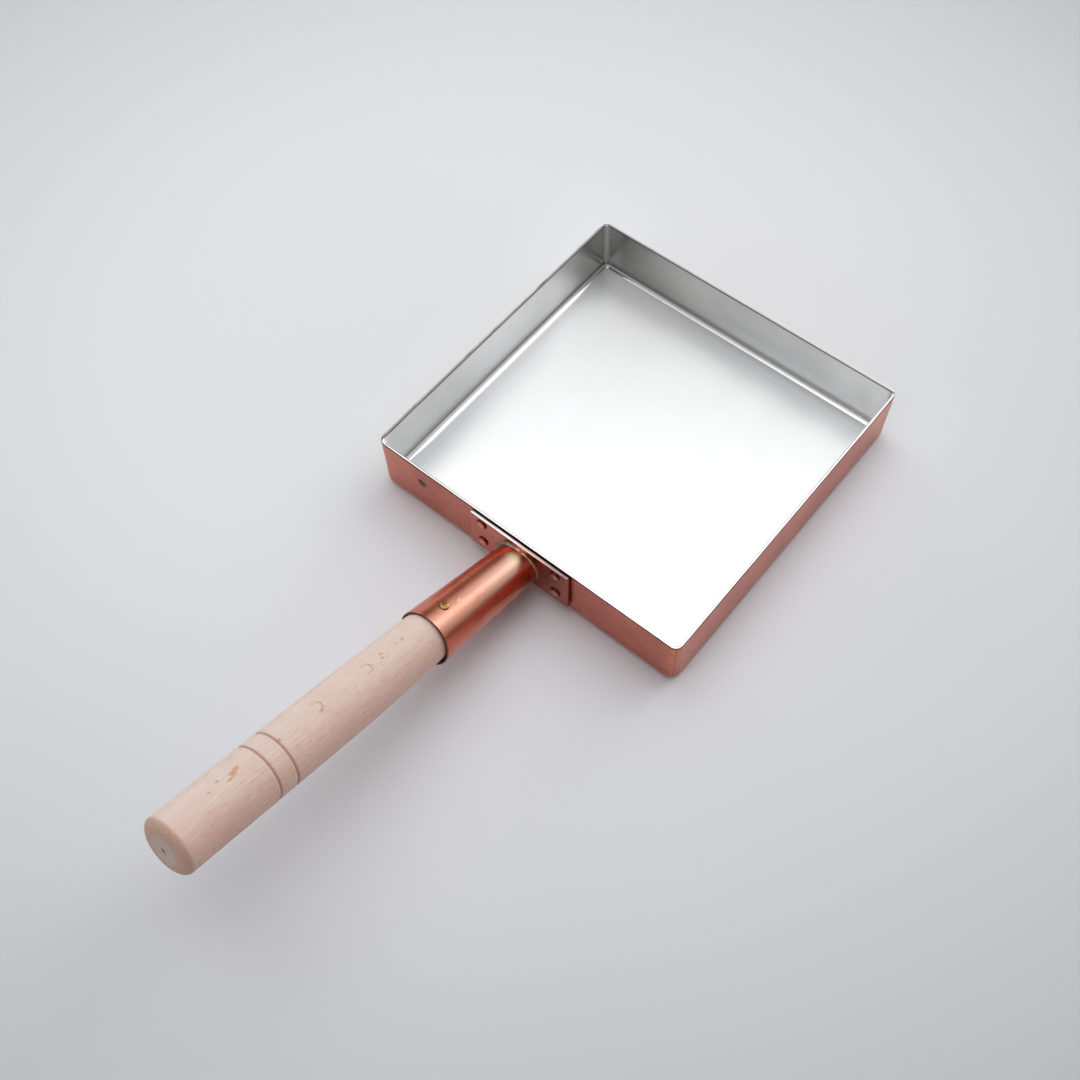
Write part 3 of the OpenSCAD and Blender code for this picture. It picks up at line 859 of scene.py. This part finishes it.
def tin_bend():
    """The bend on the tin's inner side, from the wall down to the floor."""
    loops = []
    for i in range(FILLET_STEPS, -1, -1):
        f = math.pi / 2 * i / FILLET_STEPS
        inset = lambda share: lerp(FULL, fillet_inset(share), 1 - math.sin(f))
        loops.append(pan_loop(inset, fixed(FULL + FILLET_R * (1 - math.cos(f)))))
    return loops


def build_lining():
    loops = flat_floor(SHEET, fixed(SHEET + INNER_BEND))
    loops += rise(bend(INNER_BEND, SHEET, SHEET))
    loops += rise((SHEET, z) for z in WALL_Z)
    loops += rise([(SHEET - 0.25, 33.32)])
    under = lambda share: edge_share(share) + 0.05
    loops.append(pan_loop(under, lambda share: rim_z(edge_share(share)) - 0.08))
    for part in (0.0, 0.04, 0.15, 0.3, 0.45, 0.6, 0.75, 0.88, 0.96):
        loops.append(on_rim(lambda share: lerp(edge_share(share), FULL, part)))
    loops += rise((FULL, z) for z in [33.35] + WALL_Z[-2::-1])
    loops += tin_bend()
    loops += reversed(flat_floor(FULL, fillet_inset))
    piece("tin_lining_skin", *skin(loops), TIN_M, "tin", ["tin_lining"])


# Plate and rivets


def bow(x):
    """How far the plate stands out in its middle."""
    return PLATE_BOW * (1 - (x / (PLATE_W / 2)) ** 2)


def plate_corner(k, inset, degrees):
    """A place on one of the plate's rounded corners."""
    sx, sz = PLATE_CORNERS[k % 4]
    f, reach = math.radians(degrees), PLATE_CORNER_R - inset
    x = sx * (PLATE_W / 2 - PLATE_CORNER_R) + reach * math.cos(f)
    return x, sz * (PLATE_H / 2 - PLATE_CORNER_R) + reach * math.sin(f)


def plate_outline(inset):
    turns, long_side, short_side = 6, 30, 14
    points = []
    for k in range(4):
        start = 90 * (k - 1)
        points += [plate_corner(k, inset, start + 90 * i / turns) for i in range(turns + 1)]
        (x1, z1), (x2, z2) = points[-1], plate_corner(k + 1, inset, start + 90)
        count = long_side if abs(x2 - x1) > abs(z2 - z1) else short_side
        points += [(lerp(x1, x2, i / count), lerp(z1, z2, i / count)) for i in range(1, count)]
    return points


def plate_loop(inset, depth, scale=1.0):
    """A loop round the plate. depth runs from its bowed front to its flat back."""
    out = []
    for x, z in plate_outline(inset):
        x, z = x * scale, z * scale
        front = (bow(x) + 0.05 * wobble(x, 0, z, 9.0, 5.0)) * (1 - depth / PLATE_T)
        out.append((x, PLATE_FACE_Y - front + depth, PLATE_TOP - PLATE_H / 2 + z))
    return out


def seat(x, z):
    """A low seat on the plate's back, round a rivet."""
    def ring(y):
        return [(x + SEAT_R * math.cos(a), y, z + SEAT_R * math.sin(a)) for a in circle(SEAT_STEPS)]

    return skin([ring(PLATE_FACE_Y + 1.2), ring(-HALF_Y + 0.12)])


def build_plate():
    loops = [plate_loop(0.28, 0.0, scale) for scale in PLATE_SCALES]
    loops += [plate_loop(i, depth) for i, depth in ((0.28, 0.0), (0.12, 0.04), (0.03, 0.13), (0.0, 0.28))]
    loops += [plate_loop(i, PLATE_T - rest) for i, rest in ((0.0, 0.20), (0.06, 0.06), (0.20, 0.0))]
    loops += [plate_loop(0.20, PLATE_T, scale) for scale in reversed(PLATE_SCALES)]
    verts, faces = skin(loops)
    for x, z in RIVETS.values():
        seat_verts, seat_faces = seat(x, z)
        faces += [tuple(i + len(verts) for i in face) for face in seat_faces]
        verts += seat_verts
    piece("handle_plate_copper", verts, faces, PLATE_M, "copper", ["handle_plate"])


def build_rivet(number, name, x, z):
    """A dented head outside and a low dome inside."""
    face_y = PLATE_FACE_Y - bow(x)
    inside_y = -HALF_Y + FULL

    def out_of_plate(px, py, h):
        dent = 0.08 * wobble(px, py, 0, 1.9, 4.0 + number) * smoothstep(0.1, 0.8, h)
        return (x + px * (1 + 0.03 * math.sin(number)), face_y - h - dent, z + py)

    def into_pan(px, py, h):
        dent = 0.10 * wobble(px, py, 0, 1.9, 9.0 + number) * smoothstep(0.1, 0.5, h)
        return (x + px, inside_y + h + dent, z + py)

    shank = [(1.5, face_y - inside_y + 0.1), (1.5, -0.05), (HEAD_R - 0.1, -0.02)]
    head = turned(shank + dome_profile(HEAD_R, HEAD_H, 0.2), RIVET_STEPS, out_of_plate)
    piece(name + "_head", *head, RIVET_M, "copper", [name])
    foot = [(1.4, -0.3), (TAIL_R - 0.1, -0.02)]
    tail = turned(foot + dome_profile(TAIL_R, TAIL_H, 0.12), RIVET_STEPS, into_pan)
    piece(name + "_tail", *tail, TIN_M, "tin", [name])


# Socket


def root_station(theta, radius):
    """Where a line on the socket, at an angle round it, ends a little inside the plate."""
    s = 0.0
    for _ in range(6):
        r = radius + TAPER * s
        x = r * math.cos(theta)
        s = (r * math.sin(theta) * math.sin(TILT) + bow(x)) / math.cos(TILT) - INTO_PLATE
    return s


def socket_loop(t, wall, lip):
    """A loop round the socket at a share t of the way from the plate to the mouth."""
    points = []
    for theta in circle(SOCKET_STEPS):
        s = lerp(root_station(theta, ROOT_R - wall), SOCKET_LEN - lip, t)
        r = ROOT_R + TAPER * s - wall
        x, y = math.cos(theta), math.sin(theta)
        r += 0.05 * wobble(x * 12, y * 12, s * 0.35, 9.0, 1.7) * smoothstep(0.05, 0.3, t)
        away = math.hypot((theta - DENT_ANGLE) * WOOD_R, s - DENT_S)
        r += 0.22 * math.exp(-(away / DENT_R) ** 2)
        points.append((r * x, r * y, s))
    return points


def build_socket():
    mouth = ((0.03, 0.18), (0.12, 0.06), (0.28, 0.0), (0.95, 0.0), (1.12, 0.08), (1.2, 0.25))
    loops = [socket_loop(i / SOCKET_ROWS, 0.0, 0.35) for i in range(SOCKET_ROWS + 1)]
    loops += [socket_loop(1.0, wall, lip) for wall, lip in mouth]
    loops += [socket_loop(1 - i / BORE_ROWS, SOCKET_T, 0.25) for i in range(1, BORE_ROWS + 1)]
    piece("handle_socket_copper", *skin(loops, joined=True), SOCKET_M, "copper", ["handle_socket"], HANDLE)


# Braze


def socket_at_depth(phi, out):
    """Point on the socket's outside, at an angle round its axis, at a distance out from the plate."""
    s = 0.0
    for _ in range(8):
        r = ROOT_R + TAPER * s
        s = (r * math.sin(phi) * math.sin(TILT) + out) / math.cos(TILT)
    r = ROOT_R + TAPER * s
    x = r * math.cos(phi)
    y = PLATE_FACE_Y - s * math.cos(TILT) + r * math.sin(phi) * math.sin(TILT)
    z = AXIS_Z + s * math.sin(TILT) + r * math.sin(phi) * math.cos(TILT)
    return Vector((x, y, z))


def bead_ring(part):
    """A section of the bead at a share of its length: a concave face, closed behind it."""
    phi = lerp(BEAD_START, BEAD_END, part)
    ends = smoothstep(0, 0.05, part) * smoothstep(1, 0.95, part)
    lump = 1 + 0.22 * noise.noise(Vector((math.cos(phi) * 3.0, math.sin(phi) * 3.0, 1.0)))
    left = smoothstep(0.2, -0.9, math.cos(phi))
    leg_plate = (0.55 + 1.35 * left) * lump * ends + 0.04
    leg_socket = (0.60 + 0.50 * left) * lump * ends + 0.04
    plate_out = bow(ROOT_R * math.cos(phi))
    corner = socket_at_depth(phi, plate_out)
    up = socket_at_depth(phi, plate_out + leg_socket)
    foot = corner + Vector((corner.x, 0, corner.z - AXIS_Z)).normalized() * leg_plate
    foot.y = PLATE_FACE_Y - bow(foot.x)
    middle = (foot + up) / 2
    pull = corner.lerp(middle, 0.30)
    outward = (middle - corner).normalized()
    ring = []
    for j in range(BEAD_ACROSS + 1):
        t = j / BEAD_ACROSS
        p = foot * (1 - t) ** 2 + pull * 2 * t * (1 - t) + up * t ** 2
        rough = 0.10 * noise.noise(p * 0.9) * math.sin(math.pi * t) * ends
        ring.append(tuple(p + outward * rough))
    inward = (corner - middle).normalized() * 0.25
    return ring + [tuple(up + inward * 0.6), tuple(corner + inward), tuple(foot + inward * 0.6)]


def build_braze():
    loops = [bead_ring(i / BEAD_STEPS) for i in range(BEAD_STEPS + 1)]
    piece("braze_bead_metal", *skin(loops), BRAZE_M, "braze", ["braze_bead"])


# Grip and nail


def grip_radius(s):
    """The swell behind the neck, and the grooves with a raised edge beside each."""
    r = NECK_R + (BELLY_R - NECK_R) * math.sin(math.pi / 2 * min(1, max(0, (s - SOCKET_LEN) / SWELL_LEN)))
    for at in GROOVES:
        r -= GROOVE_DEEP * math.exp(-(((s - at) / GROOVE_WIDE) ** 2))
        r += 0.10 * math.exp(-(((s - at - 1.5) / 0.5) ** 2))
    return r


def grip_profile():
    """Tenon, neck, swell, rounded end and the mark of the lathe's centre."""
    profile = [(0.0, TENON_S), (TENON_R - 1, TENON_S), (TENON_R, TENON_S + 1), (NECK_R, SOCKET_LEN)]
    s = SOCKET_LEN
    while s < ROUND_START - 0.3:
        near = min(abs(s - at) for at in GROOVES)
        s += 0.12 if near < 2.0 else 1.0
        profile.append((grip_radius(min(s, ROUND_START)), min(s, ROUND_START)))
    for i in range(1, ROUND_STEPS + 1):
        f = math.pi / 2 * i / ROUND_STEPS
        r = FACE_R + (BELLY_R - FACE_R) * math.cos(f)
        profile.append((r, ROUND_START + (GRIP_END - ROUND_START) * math.sin(f)))
    centre = ((7.0, 0.0), (5.0, 0.02), (2.5, 0.03), (1.3, 0.06), (0.9, 0.35), (0.3, 0.8), (0.0, 0.85))
    return profile + [(r, GRIP_END - depth) for r, depth in centre]


def grip_place(x, y, h):
    """The neck sits a little off the middle of the mouth, up and to the left."""
    a = 1 + 0.0022 * wobble(x, y, h * 0.3, 9.0, 2.2) if SOCKET_LEN < h < ROUND_START else 1
    off = smoothstep(SOCKET_LEN + 40, SOCKET_LEN, h)
    return (x * a - 0.27 * off, y * a + 0.22 * off, h)


def build_grip():
    grip = turned(grip_profile(), GRIP_STEPS, grip_place)
    piece("handle_grip_beech", *grip, BEECH_M, "beech", ["handle_grip"], HANDLE)


def nail_place(x, y, h):
    """The nail stands on the socket's upper side, with a dented head."""
    dent = 0.10 * wobble(x, y, 0, 1.3, 6.6) * smoothstep(0.2, 0.6, h)
    return (x, ROOT_R + TAPER * NAIL_S + h + dent, NAIL_S - y)


def build_nail():
    shank = [(0.05, -11.5), (1.0, -9.5), (1.0, -0.25), (NAIL_R, -0.25)]
    nail = turned(shank + dome_profile(NAIL_R, 0.85, 0.12), NAIL_STEPS, nail_place)
    piece("handle_nail_brass", *nail, BRASS_M, "nail_brass", ["handle_nail"], HANDLE)


build_body()
build_lining()
build_plate()
for number, (name, (x, z)) in enumerate(sorted(RIVETS.items())):
    build_rivet(number, name, x, z)
build_socket()
build_braze()
build_grip()
build_nail()


# Stage, light and camera

FLOOR_HALF = 4
# Two soft panels overhead: place, aim, size and power. Their powers and the strengths in GLOWS come
# from a fit, made by another program, to the brightness of the photo.
PANELS = (
    ((0.4, 0.9, 1.2), (0, 0, 0), 0.9, 2.73),
    ((-0.3, 0.5, 0.9), (0, 0.1, 0), 0.5, 0.35),
)
# The room round the table: soft glows, each with its azimuth, elevation and strength. The fit also
# chose which of a grid of glows stay.
GLOWS = (
    (90, 4, 4.56), (157.5, 4, 3.06), (225, 4, 2.91), (315, 4, 1.70), (11.2, 20, 0.36),
    (33.8, 20, 0.69), (56.2, 20, 0.47), (78.8, 20, 1.23), (101.2, 20, 0.56), (123.8, 20, 0.20),
    (24, 37, 0.29), (96, 37, 0.31), (120, 37, 0.49), (192, 37, 0.15), (264, 37, 1.47),
    (75, 54, 1.33), (165, 54, 1.37), (255, 54, 0.93), (285, 54, 0.09), (51.4, 72, 0.48),
    (102.9, 72, 0.07), (154.3, 72, 1.68), (0, 90, 2.70),
)
SPREAD = 35.0
ROOM_COLOUR = (1.035, 1.035, 1.035, 1)
# The camera's place, angles and lens come from a fit to the edges of the pan and the handle
CAMERA_PLACE, CAMERA_ANGLES = (0.21833, -0.32358, 0.58996), (29.918, 1.163, 39.387)
CAMERA_LENS, CAMERA_SENSOR = 46.465, 36


def add_object(name, data):
    obj = bpy.data.objects.new(name, data)
    scene.collection.objects.link(obj)
    return obj


def build_floor():
    h = FLOOR_HALF
    mesh = bpy.data.meshes.new("floor")
    mesh.from_pydata([(-h, -h, 0), (h, -h, 0), (h, h, 0), (-h, h, 0)], [], [(0, 1, 2, 3)])
    mesh.materials.append(FLOOR_M)
    floor = add_object("floor", mesh)


def panel(name, place, target, size, power):
    light = bpy.data.lights.new(name, "AREA")
    light.shape = "RECTANGLE"
    light.size = light.size_y = size
    light.energy = power
    obj = add_object(name, light)
    obj.location = place
    obj.rotation_euler = (Vector(target) - Vector(place)).to_track_quat("-Z", "Y").to_euler()


def build_room():
    world = bpy.data.worlds.new("room")
    world.use_nodes = True
    scene.world = world
    w = Nodes(world.node_tree)
    direction = w.add("ShaderNodeTexCoord").outputs["Generated"]
    strength = 0.0
    for azimuth, elevation, value in GLOWS:
        az, el = math.radians(azimuth), math.radians(elevation)
        aim = (math.cos(el) * math.cos(az), math.cos(el) * math.sin(az), math.sin(el))
        away = w.minus(w.vec("DOT_PRODUCT", direction, aim), 1.0)
        lobe = w.math("EXPONENT", w.times(away, SPREAD))
        strength = w.plus(w.times(lobe, value), strength)
    shade = w.add("ShaderNodeBackground", Color=ROOM_COLOUR, Strength=strength)
    w.tree.links.new(shade.outputs[0], w.add("ShaderNodeOutputWorld").inputs[0])


def build_camera():
    data = bpy.data.cameras.new("camera")
    data.sensor_width = CAMERA_SENSOR
    data.lens = CAMERA_LENS
    data.clip_start = 0.01
    camera = add_object("camera", data)
    camera.location = CAMERA_PLACE
    camera.rotation_euler = [math.radians(angle) for angle in CAMERA_ANGLES]
    scene.camera = camera


build_floor()
for number, (place, target, size, power) in enumerate(PANELS):
    panel(f"panel_{number}", place, target, size, power)
build_room()
build_camera()
scene.view_settings.view_transform = "Standard"
scene.view_settings.look = "None"
